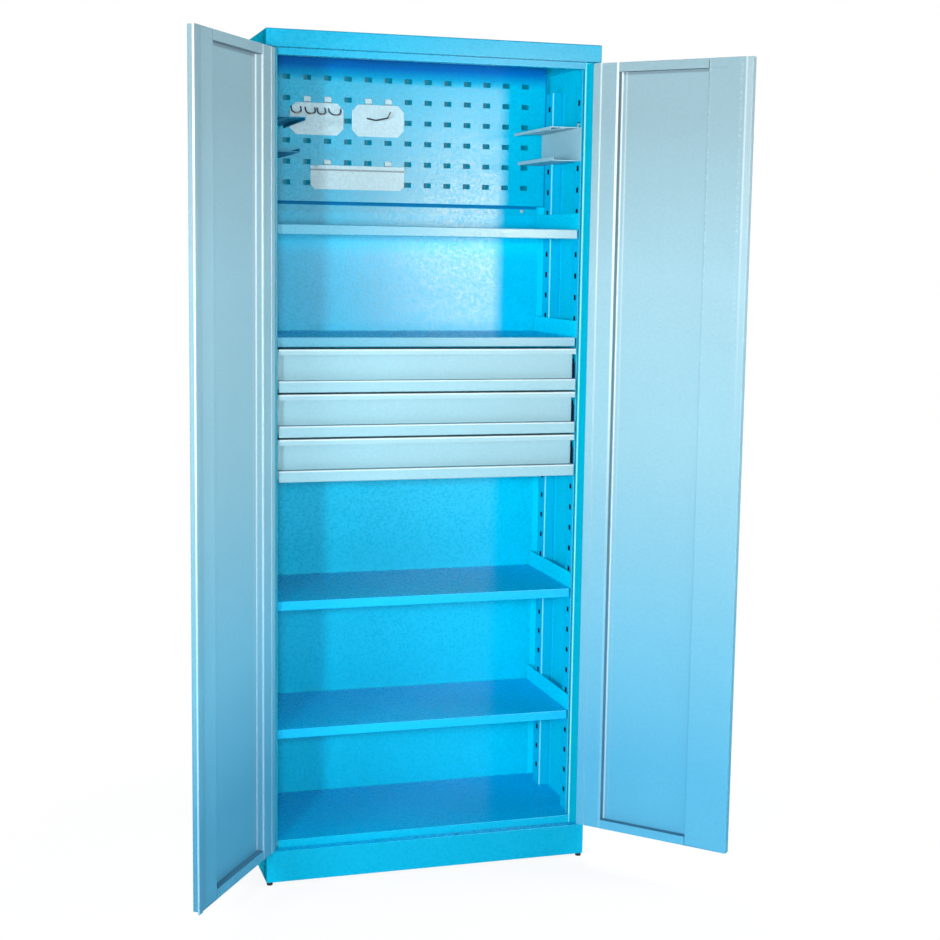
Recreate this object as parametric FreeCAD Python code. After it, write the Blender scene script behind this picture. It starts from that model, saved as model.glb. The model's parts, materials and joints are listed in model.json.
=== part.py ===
import FreeCAD, Part
import math
import os

os.makedirs("parts", exist_ok=True)
V = FreeCAD.Vector

# ---------------------------------------------------------------- driving dimensions (mm)
HEIGHT = 1920.0          # floor to top of cap
WIDTH = 772.0            # over the side sheets
FRONT = -24.0            # front of cap and plinth, measured from the post faces (y = 0)
BACK = 336.0             # outer face of the rear panel
T = 1.2                  # sheet thickness
FOOT = 8.0               # height of the glides
PLINTH_TOP = 80.5
CAP_BOTTOM = 1882.0
POST_IN = 356.0          # half width of the clear opening between the posts
FLOOR_TOP = 98.2

PITCH = 50.0             # slot pitch
SLOT_TOP = 1796.4        # centre of the highest slot
SLOT_COUNT = 34
SLOT_Y, SLOT_Z = 16.0, 12.5
FOLD_R = 3.0             # outer radius of the folds on posts and uprights
UPR_X = 361.0            # inner face of the slotted uprights
UPR_F = (27.5, 77.5)     # front upright, from and to
UPR_R = (233.0, 283.0)   # rear upright
UPR_TOP = 1835.0

SHELF_SLOTS = (6, 11, 23, 29)   # slot each shelf hangs on
SHELF_RISE = 8.0         # shelf surface above the slot centre
SHELF_HALF = 356.5
SHELF_LIP_HALF = 352.5   # half length of the front lip
SHELF_Y = (20.0, 330.0)
SHELF_LIP = 22.0
SHELF_FLANGE = 38.0

PANEL_Y = 318.0          # front of the perforated panel
PANEL_HALF = 375.0
PANEL_Z = (1563.0, 1915.0)
PANEL_ROW = 1854.3       # top row of holes
PANEL_MID = -4.15        # middle of the hole pattern
HOLE_PITCH_X, HOLE_PITCH_Z = 49.67, 49.27
PANEL_ROWS, PANEL_COLS = 6, 14
HOLE_X, HOLE_Z = 18.0, 12.0

DRAWER_TOP = 1228.3
DRAWER_PITCH = 101.2
DRAWER_H = 97.2
DRAWER_HALF = 352.0
DRAWER_Y = 9.0           # front of the grip lips
DRAWER_SET = 24.0        # set-back of the middle panel

DOOR_T = 20.0            # door thickness
DOOR_IN, DOOR_OUT = -3.0, -23.0
DOOR_LIP = -4.2          # inner face of the folded frame beside the hinge strip
DOOR_GAP = 3.0
DOOR_Z0, DOOR_Z1 = PLINTH_TOP + DOOR_GAP, CAP_BOTTOM - DOOR_GAP
DOOR_X0, DOOR_X1 = 1.5, 385.0      # closed door, right hand
PIVOT_X, PIVOT_Y = 380.0, -18.0
OPEN_R, OPEN_L = 133.2, 123.6      # opening angles of the stored pose
HINGE_BOX = 64.0         # width of the folded frame on the hinge side
HINGE_STRIP = 20.0       # raised strip along the hinge edge
EDGE_BOX = 21.0          # width of the folded frame at top and bottom
STIFF_R, STIFF_L = 103.0, 80.0     # width of the stiffener at the free edge, right and left door
EDGE_LIP = 18.0          # folded lip along the free edge
PIN_R = 2.5

LOCK_X, LOCK_Y, LOCK_Z = 52.0, -13.0, 1000.0
TEETH, MODULE = 12, 2.0
ROD_R = 4.0

# middle of the floor rectangle taken up in the stored pose
ORIGIN_X, ORIGIN_Y = 24.53, -9.97

HALF = WIDTH / 2.0


# ---------------------------------------------------------------- helpers
def box(x0, x1, y0, y1, z0, z1):
    return Part.makeBox(x1 - x0, y1 - y0, z1 - z0, V(x0, y0, z0))


def cyl(r, p, h, d=(0, 0, 1)):
    return Part.makeCylinder(r, h, V(*p), V(*d))


def fuse(shapes):
    s = shapes[0]
    if len(shapes) > 1:
        s = s.multiFuse(shapes[1:])
    return s.removeSplitter()


def cut(s, tools):
    return s.cut(Part.makeCompound(tools)) if tools else s


def mirror(s):
    return s.mirror(V(0, 0, 0), V(1, 0, 0))


def round_edges(s, r, test):
    edges = []
    for e in s.Edges:
        if len(e.Vertexes) == 2 and isinstance(e.Curve, (Part.Line, Part.LineSegment)):
            a, b = e.Vertexes[0].Point, e.Vertexes[1].Point
            if test(a, b):
                edges.append(e)
    if not edges:
        return s
    try:
        f = s.makeFillet(r, edges)
        if f.isValid() and f.Volume > 0:
            return f
    except Exception:
        pass
    return s


def near(a, b, tol=0.01):
    return abs(a - b) < tol


def upright_at(x, y):
    """test for a vertical edge standing at x, y"""
    return lambda a, b: near(a.x, x) and near(b.x, x) and near(a.y, y) and near(b.y, y)


def along_x_at(y, z):
    return lambda a, b: near(a.y, y) and near(b.y, y) and near(a.z, z) and near(b.z, z)


def along_y_at(x, z):
    return lambda a, b: near(a.x, x) and near(b.x, x) and near(a.z, z) and near(b.z, z)


def prism(points, axis, length):
    """closed polygon pushed along an axis"""
    w = Part.makePolygon([V(*p) for p in points] + [V(*points[0])])
    return Part.Face(w).extrude(V(*axis) * length)


def wire_bend(points, r, bend):
    """round wire along a polyline whose corners are rounded"""
    pts = [V(*p) for p in points]
    edges, last = [], pts[0]
    for i in range(1, len(pts) - 1):
        a, b, c = pts[i - 1], pts[i], pts[i + 1]
        u, w = (a - b).normalize(), (c - b).normalize()
        half = math.acos(max(-1.0, min(1.0, u.dot(w)))) / 2.0
        d = bend / math.tan(half)
        p, q = b + u * d, b + w * d
        mid_dir = (u + w).normalize()
        centre = b + mid_dir * (bend / math.sin(half))
        m = centre - mid_dir * bend
        if (p - last).Length > 1e-6:
            edges.append(Part.makeLine(last, p))
        edges.append(Part.Arc(p, m, q).toShape())
        last = q
    edges.append(Part.makeLine(last, pts[-1]))
    path = Part.Wire(edges)
    start = (pts[1] - pts[0]).normalize()
    ring = Part.Wire([Part.makeCircle(r, pts[0], start)])
    pipe = path.makePipeShell([ring], True, False)
    return pipe


def place(s):
    s = s.copy()
    s.translate(V(-ORIGIN_X, -ORIGIN_Y, 0))
    return s


def save(name, shape):
    if isinstance(shape, (list, tuple)):
        shape = Part.makeCompound([place(x) for x in shape])
    else:
        shape = place(shape)
    bad = [s for s in shape.Solids if not s.isValid()]
    print(name, "solids", len(shape.Solids), "faces", len(shape.Faces), "BAD" if bad else "")
    shape.exportStep("parts/%s.step" % name)


def swing(s, side):
    """door pieces are drawn closed and on the right, then swung to the stored angle"""
    s = s.copy()
    if side > 0:
        s.rotate(V(PIVOT_X, PIVOT_Y, 0), V(0, 0, 1), OPEN_R)
        return s
    s = mirror(s)
    s.rotate(V(-PIVOT_X, PIVOT_Y, 0), V(0, 0, 1), -OPEN_L)
    return s


SIDES = (("left", -1), ("right", 1))
slot_z = lambda k: SLOT_TOP - PITCH * k


# ---------------------------------------------------------------- side panels with their front posts
def side_panel():
    z0, z1 = PLINTH_TOP, CAP_BOTTOM
    s = fuse([
        box(HALF - T, HALF, 0, BACK - T, z0, z1),
        box(POST_IN, HALF, 0, T, z0, z1),
        box(POST_IN, POST_IN + T, 0, 18.0, z0, z1),
        box(HALF - 22.0, HALF, BACK - 2 * T, BACK - T, z0, z1),
    ])
    s = round_edges(s, FOLD_R, upright_at(HALF, 0))
    s = round_edges(s, FOLD_R, upright_at(POST_IN, 0))
    s = round_edges(s, FOLD_R - T, upright_at(POST_IN + T, T))
    return s


panel = side_panel()
save("right_side_panel", panel)
save("left_side_panel", mirror(panel))

# ---------------------------------------------------------------- rear panel
save("rear_panel", box(-HALF, HALF, BACK - T, BACK, PLINTH_TOP, CAP_BOTTOM))

# ---------------------------------------------------------------- cap
cap = fuse([
    box(-HALF, HALF, FRONT, BACK, HEIGHT - T, HEIGHT),
    box(-HALF, HALF, FRONT, FRONT + T, CAP_BOTTOM, HEIGHT),
    box(-HALF, HALF, BACK - T, BACK, CAP_BOTTOM, HEIGHT),
    box(-HALF, -HALF + T, FRONT, BACK, CAP_BOTTOM, HEIGHT),
    box(HALF - T, HALF, FRONT, BACK, CAP_BOTTOM, HEIGHT),
    box(-HALF, HALF, FRONT, 16.0, CAP_BOTTOM, CAP_BOTTOM + T),
    box(-HALF, HALF, BACK - 14.0, BACK, CAP_BOTTOM, CAP_BOTTOM + T),
    box(-HALF, -HALF + 22.0, FRONT, PANEL_Y - 4.0, CAP_BOTTOM, CAP_BOTTOM + T),
    box(HALF - 22.0, HALF, FRONT, PANEL_Y - 4.0, CAP_BOTTOM, CAP_BOTTOM + T),
])
UP_ROD_X = LOCK_X - 17.0     # upper rod, closed door
LOW_ROD_X = LOCK_X + 17.0    # lower rod
cap = cut(cap, [cyl(PIN_R, (s * PIVOT_X, PIVOT_Y, CAP_BOTTOM - 1), 6) for s in (-1, 1)]
          + [cyl(5.4, (UP_ROD_X, LOCK_Y, CAP_BOTTOM - 1), 6)])
cap = round_edges(cap, 2.5, lambda a, b: (near(a.z, HEIGHT) and near(b.z, HEIGHT)
                  and (near(a.y, FRONT) and near(b.y, FRONT) or near(abs(a.x), HALF) and near(a.x, b.x)
                       or near(a.y, BACK) and near(b.y, BACK)))
                  or (near(abs(a.x), HALF) and near(a.x, b.x) and near(a.y, b.y)
                      and (near(a.y, FRONT) or near(a.y, BACK))))
save("top_cap", cap)

# ---------------------------------------------------------------- rail under the cap, between the posts
RAIL_Z = 1867.6
rail = fuse([
    box(-POST_IN, POST_IN, 0, T, RAIL_Z, CAP_BOTTOM),
    box(-POST_IN, POST_IN, 0, 18.0, RAIL_Z, RAIL_Z + T),
    box(-POST_IN, POST_IN, 0, 16.0, CAP_BOTTOM - T, CAP_BOTTOM),
])
rail = round_edges(rail, 1.0, along_x_at(0, RAIL_Z))
save("top_front_rail", rail)

# ---------------------------------------------------------------- floor panel and its front lip
floor = fuse([
    box(-POST_IN, POST_IN, 0, BACK - 2 * T - 0.4, FLOOR_TOP - T, FLOOR_TOP),
    box(-HALF + T, HALF - T, 22.4, BACK - 2 * T - 0.4, FLOOR_TOP - T, FLOOR_TOP),
    box(-POST_IN, POST_IN, 0, T, PLINTH_TOP, FLOOR_TOP),
    box(-POST_IN, POST_IN, 0, 16.0, PLINTH_TOP, PLINTH_TOP + T),
])
floor = round_edges(floor, 1.0, along_x_at(0, FLOOR_TOP))
save("floor_panel", floor)

# ---------------------------------------------------------------- plinth frame
plinth = fuse([
    box(-HALF, HALF, FRONT, FRONT + T, FOOT, PLINTH_TOP),
    box(-HALF, HALF, BACK - T, BACK, FOOT, PLINTH_TOP),
    box(-HALF, -HALF + T, FRONT, BACK, FOOT, PLINTH_TOP),
    box(HALF - T, HALF, FRONT, BACK, FOOT, PLINTH_TOP),
    box(-HALF, HALF, FRONT, 16.0, PLINTH_TOP - T, PLINTH_TOP),
    box(-HALF, HALF, BACK - 18.0, BACK, PLINTH_TOP - T, PLINTH_TOP),
    box(-HALF, -HALF + 22.0, FRONT, BACK, PLINTH_TOP - T, PLINTH_TOP),
    box(HALF - 22.0, HALF, FRONT, BACK, PLINTH_TOP - T, PLINTH_TOP),
    box(-HALF, HALF, FRONT, FRONT + 22.0, FOOT, FOOT + T),
    box(-HALF, HALF, BACK - 22.0, BACK, FOOT, FOOT + T),
    box(-HALF, -HALF + 22.0, FRONT, BACK, FOOT, FOOT + T),
    box(HALF - 22.0, HALF, FRONT, BACK, FOOT, FOOT + T),
])
FEET = [(sx * 377.5, y) for sx in (-1, 1) for y in (FRONT + 8.5, BACK - 8.5)]
plinth = cut(plinth, [cyl(PIN_R, (s * PIVOT_X, PIVOT_Y, PLINTH_TOP - 4), 6) for s in (-1, 1)]
             + [cyl(5.4, (LOW_ROD_X, LOCK_Y, PLINTH_TOP - 4), 6)]
             + [cyl(3.5, (x, y, FOOT - 1), 4) for x, y in FEET])
plinth = round_edges(plinth, 1.5, lambda a, b: near(abs(a.x), HALF) and near(a.x, b.x) and near(a.y, b.y)
                     and (near(a.y, FRONT) or near(a.y, BACK)))
plinth = round_edges(plinth, 1.0, along_x_at(FRONT, PLINTH_TOP))
save("plinth", plinth)

glides = []
for x, y in FEET:
    g = fuse([cyl(7.0, (x, y, 0), FOOT), cyl(3.5, (x, y, 0), FOOT + 7.0)])
    g = g.makeFillet(1.6, [e for e in g.Edges if near(e.BoundBox.ZMin, 0) and near(e.BoundBox.ZMax, 0)])
    glides.append(g)
save("foot_glides", glides)

# ---------------------------------------------------------------- slotted uprights
def upright(y0, y1, feet):
    z0, z1 = FLOOR_TOP + 0.3, UPR_TOP
    x1 = HALF - T
    parts = [box(UPR_X, UPR_X + T, y0, y1, z0, z1),
             box(UPR_X, x1, y0, y0 + T, z0, z1),
             box(UPR_X, x1, y1 - T, y1, z0, z1)]
    for a, b in feet:
        parts.append(box(x1 - T, x1, a, b, z0, z1))
    s = fuse(parts)
    yc = (y0 + y1) / 2.0
    s = cut(s, [box(UPR_X - 1, UPR_X + T + 1, yc - SLOT_Y / 2, yc + SLOT_Y / 2,
                    slot_z(k) - SLOT_Z / 2, slot_z(k) + SLOT_Z / 2) for k in range(SLOT_COUNT)])
    for yy, yn in ((y0, y0 + T), (y1, y1 - T)):
        s = round_edges(s, FOLD_R, upright_at(UPR_X, yy))
        s = round_edges(s, FOLD_R - T, upright_at(UPR_X + T, yn))
    return s


uf = upright(UPR_F[0], UPR_F[1], [(UPR_F[1], UPR_F[1] + 14.0)])
ur = upright(UPR_R[0], UPR_R[1], [(UPR_R[0] - 14.0, UPR_R[0]), (UPR_R[1], UPR_R[1] + 14.0)])
save("right_front_upright", uf)
save("left_front_upright", mirror(uf))
save("right_rear_upright", ur)
save("left_rear_upright", mirror(ur))
UF_Y, UR_Y = sum(UPR_F) / 2.0, sum(UPR_R) / 2.0

# ---------------------------------------------------------------- shelves and the clips they rest on
clips = []
for n, k in enumerate(SHELF_SLOTS):
    zs = slot_z(k)
    zt = zs + SHELF_RISE
    y0, y1 = SHELF_Y
    h = SHELF_HALF
    s = fuse([
        box(-SHELF_LIP_HALF, SHELF_LIP_HALF, y0, y1, zt - T, zt),
        box(-h, h, y0 + 1.5, y1, zt - T, zt),
        box(-SHELF_LIP_HALF, SHELF_LIP_HALF, y0, y0 + T, zt - SHELF_LIP, zt),
        box(-SHELF_LIP_HALF, SHELF_LIP_HALF, y0, y0 + 13.0, zt - SHELF_LIP, zt - SHELF_LIP + T),
        box(-h, h, y1 - T, y1, zt - 16.0, zt),
        box(h - T, h, y0 + 1.5, y1 - 5.0, zt - T, zt + SHELF_FLANGE),
        box(-h, -h + T, y0 + 1.5, y1 - 5.0, zt - T, zt + SHELF_FLANGE),
    ])
    s = round_edges(s, 1.4, along_x_at(y0, zt))
    s = round_edges(s, 2.0, along_x_at(y0, zt - SHELF_LIP))
    save("shelf_%d" % (n + 1), s)
    for yc in (UF_Y, UR_Y):
        c = fuse([
            box(338.0, 360.4, yc - 6, yc + 6, zt - T - 3.0, zt - T),
            box(356.5, 366.0, yc - 4, yc + 4, zs - 2.0, zt - T - 3.0 + 1.0),
            box(363.0, 366.0, yc - 4, yc + 4, zs - 9.0, zs - 2.0),
        ])
        clips += [c, mirror(c)]
save("shelf_clips", clips)

# ---------------------------------------------------------------- perforated panel, its lugs and screws
hole_x = lambda i: PANEL_MID + HOLE_PITCH_X * (i - (PANEL_COLS - 1) / 2.0)
hole_z = lambda j: PANEL_ROW - HOLE_PITCH_Z * j
pz0, pz1 = PANEL_Z
tp = fuse([
    box(-PANEL_HALF, PANEL_HALF, PANEL_Y, PANEL_Y + T, pz0, pz1),
    box(-PANEL_HALF, PANEL_HALF, PANEL_Y, BACK - 2 * T - 0.5, pz0, pz0 + T),
    box(-PANEL_HALF + 17, PANEL_HALF - 17, PANEL_Y, BACK - T, pz0, pz0 + T),
    box(-PANEL_HALF, PANEL_HALF, PANEL_Y, PANEL_Y + 12.0, pz1 - T, pz1),
    box(-300.0, -260.0, PANEL_Y, PANEL_Y + 14.0, CAP_BOTTOM + T, CAP_BOTTOM + 2 * T),
    box(260.0, 300.0, PANEL_Y, PANEL_Y + 14.0, CAP_BOTTOM + T, CAP_BOTTOM + 2 * T),
    box(-PANEL_HALF + 17, PANEL_HALF - 17, BACK - 2 * T, BACK - T, pz0 - 22.0, pz0 + T),
])
holes = []
for i in range(PANEL_COLS):
    for j in range(PANEL_ROWS):
        x, z = hole_x(i), hole_z(j)
        holes.append(box(x - HOLE_X / 2, x + HOLE_X / 2, PANEL_Y - 1, PANEL_Y + T + 1, z - HOLE_Z / 2, z + HOLE_Z / 2))
SCREW_Z = pz0 - 11.0
SCREW_X = 320.0
holes += [cyl(2.0, (s * SCREW_X, BACK - 6, SCREW_Z), 8, (0, 1, 0)) for s in (-1, 1)]
tp = cut(tp, holes)
tp = round_edges(tp, 1.0, along_x_at(PANEL_Y, pz0))
save("tool_panel", tp)

screws = []
for s in (-1, 1):
    head = cyl(4.5, (s * SCREW_X, BACK - 2 * T - 2.4, SCREW_Z), 2.4, (0, 1, 0))
    head = head.makeFillet(1.0, [e for e in head.Edges if near(e.BoundBox.YMax, BACK - 2 * T - 2.4) and e.Closed])
    shank = cyl(2.0, (s * SCREW_X, BACK - 2 * T - 0.5, SCREW_Z), T + 0.5, (0, 1, 0))
    sc = fuse([head, shank])
    sc = cut(sc, [box(s * SCREW_X - 3.0, s * SCREW_X + 3.0, BACK - 10, BACK - 2 * T - 1.5, SCREW_Z - 0.5, SCREW_Z + 0.5),
                  box(s * SCREW_X - 0.5, s * SCREW_X + 0.5, BACK - 10, BACK - 2 * T - 1.5, SCREW_Z - 3.0, SCREW_Z + 3.0)])
    screws.append(sc)
save("tool_panel_screws", screws)

# ---------------------------------------------------------------- hook plates and the tool strip, hung in the perforations
PL_T = 1.5
PL_Y1 = PANEL_Y - 0.8
PL_Y0 = PL_Y1 - PL_T


def tab(x, z_from, z_hole, w=16.5):
    """tongue that rises from a plate, passes through a hole and hooks up behind the panel"""
    return [box(x - w / 2, x + w / 2, PL_Y0, PL_Y1, z_from, z_hole + 3.5),
            box(x - w / 2, x + w / 2, PL_Y0, PANEL_Y + 7.0, z_hole + 2.0, z_hole + 3.5),
            box(x - w / 2, x + w / 2, PANEL_Y + 5.5, PANEL_Y + 7.0, z_hole + 2.0, z_hole + 10.5)]


def octagon(cx, w, z0, z1, c):
    x0, x1 = cx - w / 2, cx + w / 2
    pts = [(x0 + c, PL_Y0, z0), (x1 - c, PL_Y0, z0), (x1, PL_Y0, z0 + c), (x1, PL_Y0, z1 - c),
           (x1 - c, PL_Y0, z1), (x0 + c, PL_Y0, z1), (x0, PL_Y0, z1 - c), (x0, PL_Y0, z0 + c)]
    return prism(pts, (0, 1, 0), PL_T)


row2, row5 = hole_z(1), hole_z(4)
PLATE_Z = (1720.6, 1795.5)
for name, cx, w, cols in (("hook_plate_left", -205.1, 130.0, (2, 3)), ("hook_plate_right", -54.9, 128.5, (5, 6))):
    p = octagon(cx, w, PLATE_Z[0], PLATE_Z[1], 15.0)
    for i in cols:
        p = fuse([p] + tab(hole_x(i), PLATE_Z[1] - 2, row2))
    save(name, p)

# four wire loops welded to the left plate, one long hook on the right plate
WIRE_R = 2.0
front_of_plate = box(-400, 400, 200, PL_Y0, 1600, 1900)
hooks = []
for cx, w, zt in ((-255.0, 11.5, 1785.5), (-221.0, 11.5, 1784.5), (-194.5, 9.5, 1784.0), (-161.5, 14.5, 1783.0)):
    fwd, dn = 0.6, 0.8
    L = 19.5
    a = (cx - w, PL_Y0 + 1.0, zt)
    b = (cx - w, PL_Y0 - fwd * L, zt - dn * L)
    c = (cx + w, PL_Y0 - fwd * L, zt - dn * L)
    d = (cx + w, PL_Y0 + 1.0, zt)
    hooks.append(wire_bend([a, b, c, d], WIRE_R, w - 0.6).common(front_of_plate))
save("hook_plate_left_hooks", hooks)

wide = wire_bend([(-82.0, PL_Y0 + 1.0, 1763.5), (-64.0, PL_Y0 - 14.0, 1758.5), (-35.0, PL_Y0 - 22.0, 1764.5),
                  (-29.5, PL_Y0 - 24.0, 1779.0)], WIRE_R, 9.0)
save("hook_plate_right_hook", wide.common(front_of_plate))

sx0, sx1, sz0, sz1 = -219.5, 11.4, 1593.3, 1649.3
strip = prism([(sx0 + 10, PL_Y0, sz0), (sx1 - 10, PL_Y0, sz0), (sx1, PL_Y0, sz0 + 10), (sx1, PL_Y0, sz1),
               (sx0, PL_Y0, sz1), (sx0, PL_Y0, sz0 + 10)], (0, 1, 0), PL_T)
strip = fuse([strip,
              box(sx0 + 13, sx1 - 3, PL_Y0 - 12.0, PL_Y1, sz1 - PL_T, sz1),
              box(sx0 + 13, sx1 - 3, PL_Y0 - 12.0, PL_Y0 - 12.0 + PL_T, sz1 - 9.0, sz1)]
             + tab(hole_x(3), sz1 - 2, row5) + tab(hole_x(6), sz1 - 2, row5))
save("tool_strip", strip)

# ---------------------------------------------------------------- side racks hooked on the uprights
RK_T = 1.5
rz0, rz1 = 1663.0, 1739.5
rx1 = UPR_X - 0.6
rx0 = rx1 - RK_T
rack = [box(rx0, rx1, 31.0, 304.0, rz0, rz1),
        box(286.5, rx1, 38.0, 304.0, rz1 - RK_T, rz1),
        box(286.5, 286.5 + RK_T, 38.0, 304.0, rz1 - 7.0, rz1),
        box(297.0, rx1, 45.0, 304.0, rz0, rz0 + RK_T),
        box(297.0, 297.0 + RK_T, 45.0, 304.0, rz0, rz0 + 8.0)]
for yc in (UF_Y, UR_Y):
    zk = slot_z(1)
    rack += [box(rx0, rx1, yc - 4, yc + 4, rz1 - 1, zk + 3.0),
             box(rx0, UPR_X + 5.0, yc - 4, yc + 4, zk + 1.5, zk + 3.0),
             box(UPR_X + 3.5, UPR_X + 5.0, yc - 4, yc + 4, zk - 9.0, zk + 3.0)]
rack = fuse(rack)
# row of openings in the top plate that tool shanks hang through
rack = cut(rack, [cyl(14.0, (322.0, 64.0 + 42.0 * k, rz1 - RK_T - 1), RK_T + 2) for k in range(6)])
save("side_rack_right", rack)
save("side_rack_left", mirror(rack))

# ---------------------------------------------------------------- hinge pins in cap and plinth
pins = []
for s in (-1, 1):
    x = s * PIVOT_X
    top = fuse([cyl(PIN_R, (x, PIVOT_Y, DOOR_Z1 - 15.0), CAP_BOTTOM + T - DOOR_Z1 + 15.0 + 0.5),
                cyl(4.5, (x, PIVOT_Y, CAP_BOTTOM + T), 2.5)])
    low = fuse([cyl(PIN_R, (x, PIVOT_Y, PLINTH_TOP - T - 0.5), DOOR_Z0 - PLINTH_TOP + 15.0 + T + 0.5),
                cyl(4.5, (x, PIVOT_Y, PLINTH_TOP - T - 3.0), 3.0),
                cyl(4.5, (x, PIVOT_Y, PLINTH_TOP), DOOR_GAP - 0.35)])
    pins += [top, low]
save("hinge_pins", pins)

# ---------------------------------------------------------------- keepers for the lock rods
keep = []
for x, z in ((UP_ROD_X, CAP_BOTTOM + T), (LOW_ROD_X, PLINTH_TOP - T - 6.0)):
    keep.append(cut(cyl(9.0, (x, LOCK_Y, z), 6.0), [cyl(4.8, (x, LOCK_Y, z - 1), 8.0)]))
save("rod_keepers", keep)

# ---------------------------------------------------------------- drawers on telescopic rails
outer = []
for n in range(3):
    zt = DRAWER_TOP - DRAWER_PITCH * n
    zb = zt - DRAWER_H
    y0 = DRAWER_Y
    ym = DRAWER_Y + DRAWER_SET
    h = DRAWER_HALF
    strip_z = zb + 26.2
    f = fuse([
        box(-h, h, y0, ym + T, zt - T, zt),
        box(-h, h, y0, y0 + T, zt - 13.2, zt),
        box(-h + 0.5, h - 0.5, ym, ym + T, zb + 6.0, zt),
        box(-h, h, y0, ym + T, strip_z - T, strip_z),
        box(-h, h, y0, y0 + T, zb, strip_z),
        box(-h, h, y0, y0 + 12.0, zb, zb + T),
    ])
    for yy, zz in ((y0, zt), (y0, strip_z), (y0, zb)):
        f = round_edges(f, 2.0, along_x_at(yy, zz))
    save("drawer_%d_front" % (n + 1), f)
    tx, ty0, ty1, tz0, tz1 = 343.5, ym + T, 306.0, zb + 8.0, zb + 80.0
    tray = fuse([
        box(-tx, tx, ty0, ty1, tz0, tz0 + T),
        box(-tx, -tx + T, ty0, ty1, tz0, tz1),
        box(tx - T, tx, ty0, ty1, tz0, tz1),
        box(-tx, tx, ty1 - T, ty1, tz0, tz1),
        box(-tx, tx, ty0, ty0 + T, tz0, tz0 + 20.0),
    ])
    save("drawer_%d_tray" % (n + 1), tray)
    zc = zb + 44.0
    o = fuse([box(UPR_X - T, UPR_X, 36.0, 300.0, zc - 20, zc + 20),
              box(349.0, UPR_X, 36.0, 300.0, zc + 18.8, zc + 20),
              box(349.0, UPR_X, 36.0, 300.0, zc - 20, zc - 18.8)])
    m = fuse([box(354.0, 355.2, 40.0, 292.0, zc - 17, zc + 17),
              box(346.5, 355.2, 40.0, 292.0, zc + 15.8, zc + 17),
              box(346.5, 355.2, 40.0, 292.0, zc - 17, zc - 15.8)])
    i = fuse([box(343.5, 344.7, 38.0, 298.0, zc - 14.2, zc + 14.2),
              box(343.5, 352.0, 38.0, 298.0, zc + 13.0, zc + 14.2),
              box(343.5, 352.0, 38.0, 298.0, zc - 14.2, zc - 13.0)])
    outer += [o, mirror(o)]
    save("drawer_%d_mid_rails" % (n + 1), [m, mirror(m)])
    save("drawer_%d_inner_rails" % (n + 1), [i, mirror(i)])
save("drawer_outer_rails", outer)

# ---------------------------------------------------------------- doors, drawn closed on the right-hand side
def door_pan(holes, stiff):
    x0, x1, z0, z1 = DOOR_X0, DOOR_X1, DOOR_Z0, DOOR_Z1
    yo, yi, yl = DOOR_OUT, DOOR_IN, DOOR_LIP
    xh = x1 - HINGE_BOX
    xr = x1 - HINGE_STRIP
    xs = x0 + stiff
    zt, zb = z1 - EDGE_BOX, z0 + EDGE_BOX
    s = fuse([
        box(x0, x1, yo, yo + T, z0, z1),
        box(x1 - T, x1, yo, yi, z0, z1),
        box(x0, x0 + T, yo, yl, z0, z1),
        box(x0, x1, yo, yl, z1 - T, z1),
        box(x0, x1, yo, yl, z0, z0 + T),
        box(x0, x0 + EDGE_LIP, yl - T, yl, z0, z1),
        box(xr, x1, yo, yi, z1 - T, z1),
        box(xr, x1, yo, yi, z0, z0 + T),
        box(xr, x1, yi - T, yi, z0, z1),
        box(xr, xr + T, yl - T, yi, z0, z1),
        box(xh, xr + T, yl - T, yl, z0, z1),
        box(xh, xh + T, yo, yl, zb - T, zt + T),
        box(xs, xr, yl - T, yl, zt, z1),
        box(xs, xh + T, yo, yl, zt, zt + T),
        box(xs, xr, yl - T, yl, z0, zb),
        box(xs, xh + T, yo, yl, zb - T, zb),
    ])
    s = cut(s, [cyl(3.0, (PIVOT_X, PIVOT_Y, z1 - T - 1), 4), cyl(3.0, (PIVOT_X, PIVOT_Y, z0 - 1), 4),
                cyl(3.0, (xh + 20, -13.0, z0 - 1), 4)] + holes)
    s = round_edges(s, 2.0, upright_at(x1, yi))
    s = round_edges(s, 2.0, upright_at(x1, yo))
    s = round_edges(s, 2.5, upright_at(x0, yo))
    s = round_edges(s, 3.0, upright_at(x0, yl))
    s = round_edges(s, 2.5, upright_at(xh, yl))
    return s


def stiffener(stiff):
    x0, x1 = DOOR_X0 + 4.0, DOOR_X0 + stiff
    z0, z1 = DOOR_Z0 + T, DOOR_Z1 - T
    yt = DOOR_LIP - T
    s = fuse([box(x0, x1, yt - T, yt, z0, z1),
              box(x1 - T, x1, DOOR_OUT + T, yt, z0, z1)])
    return round_edges(s, 2.0, upright_at(x1, yt))


def bushes():
    out = []
    for z in (DOOR_Z1 - T - 14.0, DOOR_Z0 + T):
        out.append(cut(cyl(3.7, (PIVOT_X, PIVOT_Y, z), 14.0), [cyl(PIN_R + 0.05, (PIVOT_X, PIVOT_Y, z - 1), 16.0)]))
    return out


rod_holes = [cyl(4.6, (UP_ROD_X, LOCK_Y, DOOR_Z1 - 4), 6), cyl(4.6, (LOW_ROD_X, LOCK_Y, DOOR_Z0 - 2), 6),
             cyl(8.0, (LOCK_X, DOOR_OUT - 1, LOCK_Z), 4, (0, 1, 0))]
for name, side in SIDES:
    width = STIFF_R if side > 0 else STIFF_L
    save("%s_door_pan" % name, swing(door_pan(rod_holes if side > 0 else [], width), side))
    save("%s_door_stiffener" % name, swing(stiffener(width), side))
    save("%s_door_bushes" % name, [swing(b, side) for b in bushes()])

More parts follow.
